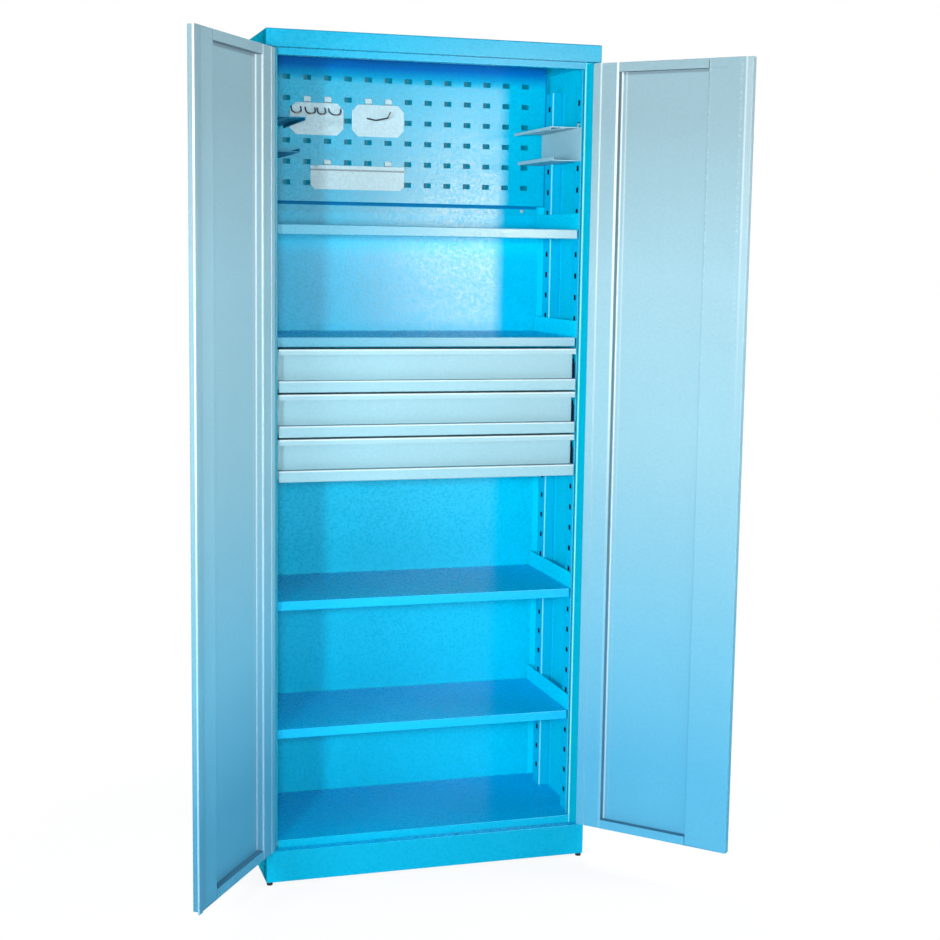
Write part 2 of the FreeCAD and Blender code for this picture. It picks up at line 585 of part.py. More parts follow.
# overlap strip on the left door, drawn mirrored like the rest of that door
lap = fuse([box(1.0, 22.0, DOOR_LIP, DOOR_LIP + T, DOOR_Z0 + 1.0, DOOR_Z1 - 1.0),
            box(-14.5, 2.2, DOOR_LIP + 0.3, DOOR_LIP + 3.8, DOOR_Z0 + 1.0, DOOR_Z1 - 1.0)])
lap = round_edges(lap, 1.0, upright_at(-14.5, DOOR_LIP + 3.8))
save("left_door_overlap_strip", swing(lap, -1))

# ---------------------------------------------------------------- rod lock on the right door
esc = box(LOCK_X - 19, LOCK_X + 19, DOOR_OUT - 5.0, DOOR_OUT, LOCK_Z - 70, LOCK_Z + 70)
esc = round_edges(esc, 8.0, lambda a, b: near(a.x, b.x) and near(a.z, b.z))
esc = round_edges(esc, 1.5, lambda a, b: near(a.y, DOOR_OUT - 5.0) and near(b.y, DOOR_OUT - 5.0))
esc = cut(esc, [cyl(6.05, (LOCK_X, DOOR_OUT - 10, LOCK_Z), 20, (0, 1, 0))])
save("lock_escutcheon", swing(esc, 1))

hub_y0, hub_y1 = DOOR_OUT - 27.0, DOOR_OUT - 5.4
hub = cyl(16.0, (LOCK_X, hub_y0, LOCK_Z), hub_y1 - hub_y0, (0, 1, 0))
lev = box(LOCK_X, LOCK_X + 118.0, hub_y0 + 1.0, hub_y0 + 12.0, LOCK_Z - 10.5, LOCK_Z + 10.5)
lev = round_edges(lev, 9.0, lambda a, b: near(a.x, LOCK_X + 118.0) and near(b.x, LOCK_X + 118.0) and near(a.z, b.z))
lev = round_edges(lev, 3.0, lambda a, b: near(a.y, b.y) and near(a.z, b.z))
lever = fuse([hub, lev])
lever = cut(lever, [cyl(8.05, (LOCK_X, hub_y0 - 1, LOCK_Z), 12.0, (0, 1, 0)),
                    cyl(6.0, (LOCK_X, hub_y1 - 7.0, LOCK_Z), 9.0, (0, 1, 0))])
save("lock_lever", swing(lever, 1))

spindle = cyl(6.0, (LOCK_X, hub_y1 - 7.0, LOCK_Z), (LOCK_Y + 5.5) - (hub_y1 - 7.0), (0, 1, 0))
save("lock_spindle", swing(spindle, 1))

barrel = cyl(8.0, (LOCK_X, hub_y0 - 0.8, LOCK_Z), 11.4, (0, 1, 0))
barrel = cut(barrel, [box(LOCK_X - 0.9, LOCK_X + 0.9, hub_y0 - 2, hub_y0 + 4.0, LOCK_Z - 4.5, LOCK_Z + 4.5)])
save("lock_barrel", swing(barrel, 1))

# pinion and racks
PR = MODULE * TEETH / 2.0
CP = math.pi * MODULE
PA = math.radians(25.0)
THIN = 0.42
ADD, DED = 1.6, 2.2
RB = PR * math.cos(PA)
inv = lambda a: math.tan(a) - a
half_p = (CP / 2 - THIN) / 2 / PR
outline = []
for t in range(TEETH):
    mid = math.pi / TEETH + t * 2 * math.pi / TEETH
    flank = []
    n = 7
    for i in range(n):
        r = RB + (PR + ADD - RB) * i / (n - 1.0)
        ar = math.acos(min(1.0, RB / r))
        flank.append((r, half_p + inv(PA) - inv(ar)))
    root = PR - DED
    base = flank[0][1]
    outline.append((root, mid - base))
    outline += [(r, mid - w) for r, w in flank]
    outline += [(r, mid + w) for r, w in reversed(flank)]
    outline.append((root, mid + base))
pin_y0, pin_y1 = LOCK_Y - 4.0, LOCK_Y + 4.0
pts = [(LOCK_X + r * math.cos(a), pin_y0, LOCK_Z + r * math.sin(a)) for r, a in outline]
pinion = prism(pts, (0, 1, 0), pin_y1 - pin_y0)
pinion = cut(pinion, [cyl(6.0, (LOCK_X, pin_y0 - 1, LOCK_Z), 12.0, (0, 1, 0))])
save("lock_pinion", swing(pinion, 1))


def rack_bar(side, z_lo, z_hi, bar_lo, bar_hi):
    """toothed bar beside the pinion; side -1 left, +1 right"""
    f = lambda d: LOCK_X + side * (PR + d)     # d is the distance beyond the pitch line
    body = [(f(DED), bar_lo), (f(DED + 6.0), bar_lo), (f(DED + 6.0), bar_hi), (f(DED), bar_hi)]
    shapes = [prism([(x, pin_y0, z) for x, z in body], (0, 1, 0), pin_y1 - pin_y0)]
    wp = (CP / 2 - THIN) / 2
    k0, k1 = int(math.ceil((z_lo - LOCK_Z) / CP)), int(math.floor((z_hi - LOCK_Z) / CP))
    for k in range(k0, k1 + 1):
        zc = LOCK_Z + k * CP
        wr, wt = wp + DED * math.tan(PA), wp - ADD * math.tan(PA)
        tooth = [(f(DED + 0.5), zc - wr), (f(DED), zc - wr), (f(-ADD), zc - wt), (f(-ADD), zc + wt), (f(DED), zc + wr), (f(DED + 0.5), zc + wr)]
        shapes.append(prism([(x, pin_y0, z) for x, z in tooth], (0, 1, 0), pin_y1 - pin_y0))
    return fuse(shapes)


up_top = DOOR_Z1 - 1.0
up = fuse([rack_bar(-1, 962.0, 1020.0, 955.0, 1046.0),
           cyl(ROD_R, (UP_ROD_X, LOCK_Y, 1040.0), up_top - 1040.0)])
up = up.makeChamfer(1.2, [e for e in up.Edges if near(e.BoundBox.ZMin, up_top) and near(e.BoundBox.ZMax, up_top)])
save("upper_lock_rod", swing(up, 1))
low_bot = DOOR_Z0 + 1.0
lo = fuse([rack_bar(1, 980.0, 1038.0, 954.0, 1045.0),
           cyl(ROD_R, (LOW_ROD_X, LOCK_Y, low_bot), 960.0 - low_bot)])
lo = lo.makeChamfer(1.2, [e for e in lo.Edges if near(e.BoundBox.ZMin, low_bot) and near(e.BoundBox.ZMax, low_bot)])
save("lower_lock_rod", swing(lo, 1))

guides = []
for x, zs in ((UP_ROD_X, (1860.0, 1480.0, 1120.0)), (LOW_ROD_X, (94.0, 480.0, 870.0))):
    for z in zs:
        g = box(x - 9.0, x + 9.0, DOOR_OUT + T, LOCK_Y + 6.0, z, z + 9.0)
        guides.append(cut(g, [cyl(ROD_R + 0.08, (x, LOCK_Y, z - 1), 12.0)]))
save("rod_guides", [swing(g, 1) for g in guides])

print("nodes", len(os.listdir("parts")))
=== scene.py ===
import json
import math
import bpy
from mathutils import Matrix, Vector


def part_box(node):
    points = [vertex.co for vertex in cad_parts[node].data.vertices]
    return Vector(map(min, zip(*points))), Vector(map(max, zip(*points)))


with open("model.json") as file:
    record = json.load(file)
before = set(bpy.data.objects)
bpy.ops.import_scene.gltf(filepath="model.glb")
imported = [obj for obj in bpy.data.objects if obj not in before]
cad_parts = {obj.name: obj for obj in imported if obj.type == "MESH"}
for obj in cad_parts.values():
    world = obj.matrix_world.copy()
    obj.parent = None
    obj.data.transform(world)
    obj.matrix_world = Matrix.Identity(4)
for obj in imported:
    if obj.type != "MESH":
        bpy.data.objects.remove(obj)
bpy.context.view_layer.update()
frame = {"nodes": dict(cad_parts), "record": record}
scene = bpy.context.scene
NODES = frame["nodes"]

# part frame = measuring frame (body middle, post face, floor) moved by this, in metres
_lo, _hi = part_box("rear_panel")
SHIFT = Vector(((_lo[0] + _hi[0]) / 2.0, _hi[1] - 0.336, 0.0))


def P(x, y, z):
    """millimetres in the measuring frame to metres in the part frame"""
    return Vector((x / 1000.0, y / 1000.0, z / 1000.0)) + SHIFT


SHEET = 0.0012

# ------------------------------------------------------------------ camera
cam = bpy.data.cameras.new("camera")
cam_obj = bpy.data.objects.new("camera", cam)
scene.collection.objects.link(cam_obj)
yaw, pitch, roll = math.radians(16.93), math.radians(-7.48), math.radians(0.86)
fwd = Vector((math.sin(yaw) * math.cos(pitch), math.cos(yaw) * math.cos(pitch), math.sin(pitch)))
right0 = Vector((math.cos(yaw), -math.sin(yaw), 0.0))
up0 = right0.cross(fwd)
right = math.cos(roll) * right0 + math.sin(roll) * up0
up = -math.sin(roll) * right0 + math.cos(roll) * up0
m = Matrix((right, up, -fwd)).transposed().to_4x4()
m.translation = P(-1015.36, -3643.0, 1448.7)
cam_obj.matrix_world = m
cam.sensor_fit = "HORIZONTAL"
cam.sensor_width = 36.0
cam.lens = 1658.63 / 940.0 * 36.0
cam.dof.use_dof = False
cam.clip_end = 100.0
scene.camera = cam_obj

# ------------------------------------------------------------------ light
scene.view_settings.view_transform = "Standard"
scene.view_settings.look = "None"

world = bpy.data.worlds.new("studio")
scene.world = world
world.use_nodes = True
wn = world.node_tree.nodes
wl = world.node_tree.links
dome = wn["Background"]
dome.inputs["Color"].default_value = (0.25, 0.45, 1.0, 1.0)
dome.inputs["Strength"].default_value = 0.03
paper = wn.new("ShaderNodeBackground")
paper.inputs["Color"].default_value = (1.0, 1.0, 1.0, 1.0)
paper.inputs["Strength"].default_value = 1.0
seen = wn.new("ShaderNodeLightPath")
both = wn.new("ShaderNodeMixShader")
wl.new(seen.outputs["Is Camera Ray"], both.inputs[0])
wl.new(dome.outputs[0], both.inputs[1])
wl.new(paper.outputs[0], both.inputs[2])
wl.new(both.outputs[0], wn["World Output"].inputs["Surface"])


def area(name, loc, target, size, power, color=(1, 1, 1), size_y=None, spread=180.0, diffuse=True, glossy=True):
    d = bpy.data.lights.new(name, "AREA")
    d.energy = power
    d.color = color
    d.size = size
    if size_y:
        d.shape = "RECTANGLE"
        d.size_y = size_y
    d.spread = math.radians(spread)
    o = bpy.data.objects.new(name, d)
    scene.collection.objects.link(o)
    o.location = loc
    o.rotation_euler = (Vector(target) - Vector(loc)).to_track_quat("-Z", "Y").to_euler()
    o.visible_diffuse = diffuse
    o.visible_glossy = glossy
    return o


area("front", P(-1015, -3643, 1450), P(0, 100, 1000), 0.4, 114.0, glossy=False)
area("left_wide", P(-3110, -2960, 1350), P(200, 100, 1000), 0.8, 93.0)
area("left_key", P(-2428, -3893, 1500), P(0, 100, 900), 0.3, 112.0, glossy=False)
area("right_side", P(2838, -1262, 1700), P(-490, -180, 1200), 1.6, 80.0, glossy=False)
area("back_fill", P(500, 2900, 3300), P(0, 300, 1300), 1.6, 42.0, spread=100.0, glossy=False)
WARM = (1.0, 0.79, 0.50)
area("right_sheen", P(1398, -3643, 1600), P(0, 100, 1500), 0.34, 455.0, color=WARM, size_y=0.8, diffuse=False)
area("right_sheen_low", P(1398, -3643, 1050), P(0, 100, 1500), 0.34, 78.0, color=WARM, size_y=0.3, diffuse=False)


# ------------------------------------------------------------------ material helpers
def new_mat(name):
    mt = bpy.data.materials.new(name)
    mt.use_nodes = True
    nt = mt.node_tree
    bsdf = nt.nodes["Principled BSDF"]
    return mt, nt, bsdf


def link(nt, a, b):
    nt.links.new(a, b)


def noise(nt, vec, scale, detail=2.0, rough=0.5, dist=0.0):
    n = nt.nodes.new("ShaderNodeTexNoise")
    n.inputs["Scale"].default_value = scale
    n.inputs["Detail"].default_value = detail
    n.inputs["Roughness"].default_value = rough
    n.inputs["Distortion"].default_value = dist
    link(nt, vec, n.inputs["Vector"])
    return n.outputs["Fac"]


def ramp(nt, fac, stops):
    r = nt.nodes.new("ShaderNodeValToRGB")
    el = r.color_ramp.elements
    while len(el) < len(stops):
        el.new(0.5)
    for e, (p, c) in zip(el, stops):
        e.position = p
        e.color = c if len(c) == 4 else tuple(c) + (1.0,)
    link(nt, fac, r.inputs["Fac"])
    return r.outputs["Color"]


def mix(nt, fac, a, b, mode="MIX"):
    n = nt.nodes.new("ShaderNodeMix")
    n.data_type = "RGBA"
    n.blend_type = mode
    for sock, val in ((n.inputs["Factor"], fac), (n.inputs[6], a), (n.inputs[7], b)):
        if hasattr(val, "is_output"):
            link(nt, val, sock)
        elif isinstance(val, (int, float)):
            sock.default_value = val
        else:
            sock.default_value = tuple(val) + (1.0,) if len(val) == 3 else tuple(val)
    return n.outputs[2]


def math_node(nt, op, a, b=0.0, clamp=False):
    n = nt.nodes.new("ShaderNodeMath")
    n.operation = op
    n.use_clamp = clamp
    for sock, val in ((n.inputs[0], a), (n.inputs[1], b)):
        if hasattr(val, "is_output"):
            link(nt, val, sock)
        else:
            sock.default_value = val
    return n.outputs[0]


def rng(nt, v, a0, a1, b0, b1):
    n = nt.nodes.new("ShaderNodeMapRange")
    n.inputs[1].default_value = a0
    n.inputs[2].default_value = a1
    n.inputs[3].default_value = b0
    n.inputs[4].default_value = b1
    link(nt, v, n.inputs[0])
    return n.outputs[0]


def coords(nt):
    return nt.nodes.new("ShaderNodeTexCoord").outputs["Object"]


def axis(nt, co, which):
    n = nt.nodes.new("ShaderNodeSeparateXYZ")
    link(nt, co, n.inputs[0])
    return n.outputs[which]


def bump(nt, height, strength, distance, normal=None):
    b = nt.nodes.new("ShaderNodeBump")
    b.inputs["Strength"].default_value = strength
    b.inputs["Distance"].default_value = distance
    link(nt, height, b.inputs["Height"])
    if normal is not None:
        link(nt, normal, b.inputs["Normal"])
    return b.outputs["Normal"]


def powder_coat(name, base, rough=0.45, grain=0.30, speckle=0.05, spec=0.06, drift=0.025, over=None, matt=None):
    """semi-matt powder coat: leathery grain in bump, tone and gloss; slow drift of tone; base is one colour or
    (height, colour) steps, and the steps paint light that changes with height; over adds painted highlights and
    painted shade
    """
    mt, nt, bsdf = new_mat(name)
    co = coords(nt)
    fine = noise(nt, co, 620.0, 2.0, 0.6)
    leather = noise(nt, co, 170.0, 2.0, 0.55)
    wide = noise(nt, co, 2.1, 3.0, 0.55)
    blot = noise(nt, co, 21.0, 4.0, 0.6)
    col = base
    if hasattr(base[0], "__len__"):
        col = ramp(nt, rng(nt, axis(nt, co, 2), 0.0, 2.0, 0.0, 1.0), [(h / 2.0, c) for h, c in base])
    if over is not None:
        col = over(nt, co, col)
    tone = math_node(nt, "ADD", rng(nt, leather, 0.3, 0.7, -speckle, speckle), rng(nt, wide, 0.3, 0.7, 1.0 - drift, 1.0 + drift))
    tone = math_node(nt, "ADD", tone, rng(nt, fine, 0.3, 0.7, -0.03, 0.03))
    vm = nt.nodes.new("ShaderNodeVectorMath")
    vm.operation = "SCALE"
    if hasattr(col, "is_output"):
        link(nt, col, vm.inputs[0])
    else:
        vm.inputs[0].default_value = col
    link(nt, tone, vm.inputs["Scale"])
    link(nt, vm.outputs[0], bsdf.inputs["Base Color"])
    r = math_node(nt, "ADD", rng(nt, blot, 0.3, 0.7, -0.008, 0.008), rng(nt, leather, 0.3, 0.7, rough - 0.05, rough + 0.05))
    if matt is not None:
        r = math_node(nt, "ADD", r, math_node(nt, "MULTIPLY", matt(nt, co), 0.6))
    link(nt, r, bsdf.inputs["Roughness"])
    n1 = bump(nt, leather, grain, 0.0004)
    n2 = bump(nt, fine, grain * 0.7, 0.00012, n1)
    link(nt, n2, bsdf.inputs["Normal"])
    bsdf.inputs["Specular IOR Level"].default_value = spec
    return mt


def zinc(name, base=(0.70, 0.72, 0.74), rough=0.34):
    mt, nt, bsdf = new_mat(name)
    co = coords(nt)
    mp = nt.nodes.new("ShaderNodeMapping")
    mp.inputs["Scale"].default_value = (160.0, 14.0, 160.0)
    link(nt, co, mp.inputs["Vector"])
    grain = noise(nt, mp.outputs["Vector"], 6.0, 3.0, 0.6)
    spangle = noise(nt, co, 70.0, 3.0, 0.6)
    col = ramp(nt, spangle, [(0.3, tuple(c * 0.85 for c in base)), (0.7, tuple(min(1, c * 1.1) for c in base))])
    link(nt, col, bsdf.inputs["Base Color"])
    link(nt, rng(nt, grain, 0.3, 0.7, rough - 0.08, rough + 0.1), bsdf.inputs["Roughness"])
    link(nt, bump(nt, grain, 0.12, 0.0002), bsdf.inputs["Normal"])
    bsdf.inputs["Metallic"].default_value = 0.65
    return mt


def plastic(name, base, rough=0.5):
    mt, nt, bsdf = new_mat(name)
    co = coords(nt)
    g = noise(nt, co, 1400.0, 2.0, 0.6)
    w = noise(nt, co, 60.0, 3.0, 0.6)
    col = ramp(nt, w, [(0.3, tuple(c * 0.85 for c in base)), (0.7, tuple(min(1, c * 1.2) for c in base))])
    link(nt, col, bsdf.inputs["Base Color"])
    link(nt, rng(nt, w, 0.3, 0.7, rough - 0.06, rough + 0.08), bsdf.inputs["Roughness"])
    link(nt, bump(nt, g, 0.3, 0.0002), bsdf.inputs["Normal"])
    bsdf.inputs["Specular IOR Level"].default_value = 0.14
    return mt


_lo, _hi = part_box("shelf_3")
FLANGE_X = (_hi[0] - _lo[0]) / 2.0 - SHEET
_lo, _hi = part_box("shelf_1")
SHELF_1 = (_lo[2], _hi[2])
_lo, _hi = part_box("tool_panel")
PANEL_HALF = (_hi[0] - _lo[0]) / 2.0
M = {}
def along(nt, co, origin, direction):
    """distance of the shaded point from origin, measured along direction"""
    d = nt.nodes.new("ShaderNodeVectorMath")
    d.operation = "SUBTRACT"
    link(nt, co, d.inputs[0])
    d.inputs[1].default_value = origin
    k = nt.nodes.new("ShaderNodeVectorMath")
    k.operation = "DOT_PRODUCT"
    link(nt, d.outputs[0], k.inputs[0])
    k.inputs[1].default_value = direction
    return k.outputs["Value"]


def fold(nt, u, v, u0, v0, r0, r1):
    """1 on a fold that runs past u0, v0, falling to 0 between r0 and r1 from it"""
    du = math_node(nt, "SUBTRACT", u, u0)
    dv = math_node(nt, "SUBTRACT", v, v0)
    d = math_node(nt, "SQRT", math_node(nt, "ADD", math_node(nt, "MULTIPLY", du, du), math_node(nt, "MULTIPLY", dv, dv)))
    return rng(nt, d, r0, r1, 1.0, 0.0)


# painted highlights and painted shade on the door's folds, lips and returns
def door_fold_light_and_shade(hand, opening):
    th = math.radians(opening)
    origin = P(380.0 * hand, -18.0, 0.0)
    direction = Vector((-hand * math.cos(th), -math.sin(th), 0.0))
    inward = Vector((-hand * math.sin(th), math.cos(th), 0.0))
    stiff = 0.1045 if hand > 0 else 0.0815

    def over(nt, co, col):
        x = math_node(nt, "SUBTRACT", 0.380, along(nt, co, origin, direction))
        t = along(nt, co, origin, inward)
        z = axis(nt, co, 2)
        # painted highlights on the door's folds, lip edges and stiffener edge, stronger towards the top
        highlight_fade = rng(nt, z, 0.8, 1.5, 0.10, 0.95) if hand > 0 else rng(nt, z, 0.5, 1.6, 0.18, 0.65)
        foot_highlight = math_node(nt, "MULTIPLY", fold(nt, x, t, 0.3205, -0.0038, 0.0016, 0.0040), rng(nt, z, 0.3, 1.5, 0.45, 0.95) if hand > 0 else rng(nt, z, 0.5, 1.5, 0.25, 0.8))
        edge = fold(nt, x, t, 0.3240, 0.0138, 0.0018, 0.0036) if hand > 0 else fold(nt, x, t, 0.3225, 0.0134, 0.0022, 0.0044)
        edge = math_node(nt, "MAXIMUM", edge, math_node(nt, "MULTIPLY", fold(nt, x, t, 0.365, 0.0142, 0.0010, 0.0026), 0.7))
        edge = math_node(nt, "MAXIMUM", edge, math_node(nt, "MULTIPLY", fold(nt, x, t, 0.309, -0.0038, 0.0008, 0.0028), 0.35))
        lip = math_node(nt, "MULTIPLY", fold(nt, x, t, 0.0165, 0.0136, 0.0012, 0.0032), 0.5 if hand > 0 else 0.0)
        lip = math_node(nt, "MAXIMUM", lip, rng(nt, x, 0.0195, 0.0170, 0.0, 0.16 if hand > 0 else 0.0))
        edge = math_node(nt, "MAXIMUM", edge, math_node(nt, "MULTIPLY", lip, rng(nt, z, 0.95, 1.6, 0.0, 1.0)))
        # rows of small spot welds that hold the stiffener and the lip, painted as pale glints that fade towards the
        # bottom
        weld_spot_glints = math_node(nt, "MAXIMUM", fold(nt, x, t, stiff - 0.002, 0.0126, 0.0010, 0.0036), fold(nt, x, t, 0.0275, 0.0126, 0.0010, 0.0042))
        weld_spot_glints = math_node(nt, "MULTIPLY", weld_spot_glints, rng(nt, noise(nt, co, 150.0, 2.0, 0.6), 0.46, 0.70, 0.0, 0.34))
        weld_spot_glints = math_node(nt, "MULTIPLY", weld_spot_glints, rng(nt, z, 0.9, 1.5, 0.0, 0.9 if hand > 0 else 0.0))
        edge = math_node(nt, "MAXIMUM", math_node(nt, "MULTIPLY", math_node(nt, "MAXIMUM", edge, weld_spot_glints), highlight_fade), foot_highlight)
        # painted shade on the hinge-side return wall and on the top and bottom returns, and a painted shadow under the
        # top lip
        wall = rng(nt, math_node(nt, "ABSOLUTE", math_node(nt, "SUBTRACT", x, 0.3212)), 0.0012, 0.0022, 0.30, 0.0)
        wall = math_node(nt, "MULTIPLY", wall, rng(nt, t, 0.0095, 0.0120, 1.0, 0.0))
        wall = math_node(nt, "MULTIPLY", wall, rng(nt, t, -0.0030, -0.0005, 0.0, 1.0))
        return_shade = math_node(nt, "MAXIMUM", rng(nt, math_node(nt, "ABSOLUTE", math_node(nt, "SUBTRACT", z, 1.8582)), 0.0014, 0.0024, 0.55, 0.0),
                         rng(nt, math_node(nt, "ABSOLUTE", math_node(nt, "SUBTRACT", z, 0.1043)), 0.0014, 0.0024, 0.45, 0.0))
        return_shade = math_node(nt, "MULTIPLY", return_shade, rng(nt, t, 0.0115, 0.0128, 1.0, 0.0))
        return_shade = math_node(nt, "MULTIPLY", return_shade, rng(nt, t, -0.0034, -0.0020, 0.0, 1.0))
        lip_shadow = math_node(nt, "MULTIPLY", rng(nt, z, 1.8505, 1.8535, 0.0, 0.5), rng(nt, t, -0.0034, -0.0028, 1.0, 0.0))
        lip_shadow = math_node(nt, "MULTIPLY", lip_shadow, rng(nt, t, -0.0046, -0.0041, 0.0, 1.0))
        return_shade = math_node(nt, "MULTIPLY", math_node(nt, "MAXIMUM", return_shade, lip_shadow), rng(nt, x, 0.0600, 0.0610, 0.0, 1.0))
        col = mix(nt, math_node(nt, "MAXIMUM", wall, return_shade), col, (0.05, 0.07, 0.10))
        # painted shade along the left door's free edge
        if hand < 0:
            col = mix(nt, rng(nt, x, 0.0030, 0.0045, 0.30, 0.0), col, (0.0, 0.0, 0.0))
        # pale painted highlights on the inner face wherever the fold masks are set
        inner = rng(nt, t, -0.0046, -0.0041, 0.0, 1.0)
        return mix(nt, math_node(nt, "MULTIPLY", edge, inner), col, (0.52, 0.58, 0.61))
    return over


def front_face_shade(nt, co, col):
    """painted shade: the front faces of cap, rail and plinth are darker than the rest of those parts"""
    y = math_node(nt, "SUBTRACT", axis(nt, co, 1), SHIFT.y)
    return mix(nt, rng(nt, y, 0.0145, 0.0155, 1.0, 0.0), col, (0.0, 0.250, 0.405))


def plinth_top_light(nt, co, col):
    """painted light: the narrow top face of the plinth is lighter"""
    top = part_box("plinth")[1][2]
    return mix(nt, rng(nt, axis(nt, co, 2), top - 0.0008, top - 0.0002, 0.0, 1.0), front_face_shade(nt, co, col), (0.0, 0.370, 0.640))


def floor_lip_shade(nt, co, col):
    """painted shade on the front face of the floor panel's lip"""
    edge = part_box("floor_panel")[0][1]
    return mix(nt, rng(nt, axis(nt, co, 1), edge + 0.0008, edge + 0.0016, 1.0, 0.0), col, (0.0, 0.300, 0.480))


def strip_end_highlight(nt, co, col):
    """painted highlight on the end face of the overlap strip, fading towards the bottom"""
    th = math.radians(123.6)
    x = math_node(nt, "SUBTRACT", 0.380, along(nt, co, P(-380.0, -18.0, 0.0), Vector((math.cos(th), -math.sin(th), 0.0))))
    end = math_node(nt, "MULTIPLY", rng(nt, x, -0.0125, -0.0110, 1.0, 0.0), rng(nt, axis(nt, co, 2), 0.6, 1.7, 0.2, 0.9))
    return mix(nt, end, col, (0.56, 0.62, 0.64))


def post_fold_light_and_shade(nt, co, col):
    x = math_node(nt, "ABSOLUTE", math_node(nt, "SUBTRACT", axis(nt, co, 0), SHIFT.x))
    y = math_node(nt, "SUBTRACT", axis(nt, co, 1), SHIFT.y)
    # painted highlights on the post's folds, stronger on the right-hand post
    edge = math_node(nt, "MAXIMUM", fold(nt, x, y, 0.3566, 0.0008, 0.0012, 0.0028), fold(nt, x, y, 0.3562, 0.0175, 0.0012, 0.0028))
    right = rng(nt, axis(nt, co, 0), -0.1, 0.1, 0.15, 0.85)
    # painted shade on the side panel behind the slots of the uprights
    shade_behind_slots = math_node(nt, "MAXIMUM", rng(nt, math_node(nt, "ABSOLUTE", math_node(nt, "SUBTRACT", y, 0.0525)), 0.0225, 0.0235, 1.0, 0.0),
                       rng(nt, math_node(nt, "ABSOLUTE", math_node(nt, "SUBTRACT", y, 0.2580)), 0.0225, 0.0235, 1.0, 0.0))
    shade_behind_slots = math_node(nt, "MULTIPLY", shade_behind_slots, rng(nt, x, 0.3845, 0.3852, 1.0, 0.0))
    shade_behind_slots = math_node(nt, "MULTIPLY", shade_behind_slots, rng(nt, axis(nt, co, 2), 1.830, 1.833, 1.0, 0.0))
    col = mix(nt, shade_behind_slots, col, (0.0, 0.012, 0.035))
    # painted shade on the post's front faces
    col = mix(nt, rng(nt, y, 0.0145, 0.0155, 1.0, 0.0), col, (0.0, 0.235, 0.345))
    return mix(nt, math_node(nt, "MULTIPLY", edge, right), col, (0.17, 0.55, 0.69))


def upright_fold_light_and_shade(nt, co, col):
    x = math_node(nt, "ABSOLUTE", math_node(nt, "SUBTRACT", axis(nt, co, 0), SHIFT.x))
    y = math_node(nt, "SUBTRACT", axis(nt, co, 1), SHIFT.y)
    # painted highlights on the upright's folds
    edge = math_node(nt, "MAXIMUM", fold(nt, x, y, 0.3616, 0.2336, 0.0010, 0.0026), fold(nt, x, y, 0.3616, 0.0282, 0.0010, 0.0024))
    # painted shade inside the hollow of each upright, seen through its slots
    hollow_shade = math_node(nt, "MAXIMUM", rng(nt, math_node(nt, "ABSOLUTE", math_node(nt, "SUBTRACT", y, 0.0525)), 0.02385, 0.02395, 1.0, 0.0),
                       rng(nt, math_node(nt, "ABSOLUTE", math_node(nt, "SUBTRACT", y, 0.2580)), 0.02385, 0.02395, 1.0, 0.0))
    hollow_shade = math_node(nt, "MULTIPLY", hollow_shade, rng(nt, x, 0.3618, 0.3621, 0.0, 1.0))
    col = mix(nt, hollow_shade, col, (0.0, 0.010, 0.045))
    # painted shade on the flange that faces the doors
    col = mix(nt, rng(nt, math_node(nt, "ABSOLUTE", math_node(nt, "SUBTRACT", y, 0.2332)), 0.0006, 0.0012, 1.0, 0.0), col, (0.0, 0.285, 0.460))
    return mix(nt, math_node(nt, "MULTIPLY", edge, 0.7), col, (0.17, 0.55, 0.69))


def drawer_fold_highlights(nt, co, col):
    down = math_node(nt, "MODULO", math_node(nt, "SUBTRACT", 1.2283, axis(nt, co, 2)), 0.1012)
    y = math_node(nt, "SUBTRACT", axis(nt, co, 1), SHIFT.y)
    # painted highlights on the drawer fronts' folds, and a slight painted highlight on each top lip
    edge = math_node(nt, "MAXIMUM", fold(nt, down, y, 0.0714, 0.0094, 0.0016, 0.0034), fold(nt, down, y, 0.0006, 0.0094, 0.0020, 0.0040))
    front = rng(nt, y, 0.0100, 0.0106, 1.0, 0.0)
    lip = math_node(nt, "MULTIPLY", rng(nt, down, 0.0125, 0.0135, 0.10, 0.0), front)
    edge = math_node(nt, "MAXIMUM", math_node(nt, "MULTIPLY", edge, 0.75), lip)
    return mix(nt, edge, col, (0.47, 0.55, 0.58))


def pale_flange(nt, co, col):
    """the upturned side flanges catch more light than the shelf"""
    x = math_node(nt, "ABSOLUTE", math_node(nt, "SUBTRACT", axis(nt, co, 0), SHIFT.x))
    y = math_node(nt, "SUBTRACT", axis(nt, co, 1), SHIFT.y)
    side = math_node(nt, "MULTIPLY", rng(nt, x, FLANGE_X - 0.0006, FLANGE_X - 0.0002, 0.0, 1.0), rng(nt, y, 0.0225, 0.0235, 0.0, 1.0))
    return mix(nt, side, col, (0.0, 0.535, 0.750))


def upper_lip_shade_and_sheen(nt, co, col):
    y = math_node(nt, "SUBTRACT", axis(nt, co, 1), SHIFT.y)
    col = pale_flange(nt, co, col)
    # painted light and shade: the front lips of the upper shelves get a greyer, darker tone set to the sheen and shade
    # on them
    return mix(nt, rng(nt, y, 0.0208, 0.0216, 1.0, 0.0), col, (0.063, 0.262, 0.374))


def lower_lip_shade(nt, co, col):
    y = math_node(nt, "SUBTRACT", axis(nt, co, 1), SHIFT.y)
    col = pale_flange(nt, co, col)
    # painted shade: the front lips of the lower shelves are darker
    return mix(nt, rng(nt, y, 0.0208, 0.0216, 1.0, 0.0), col, (0.002, 0.315, 0.570))


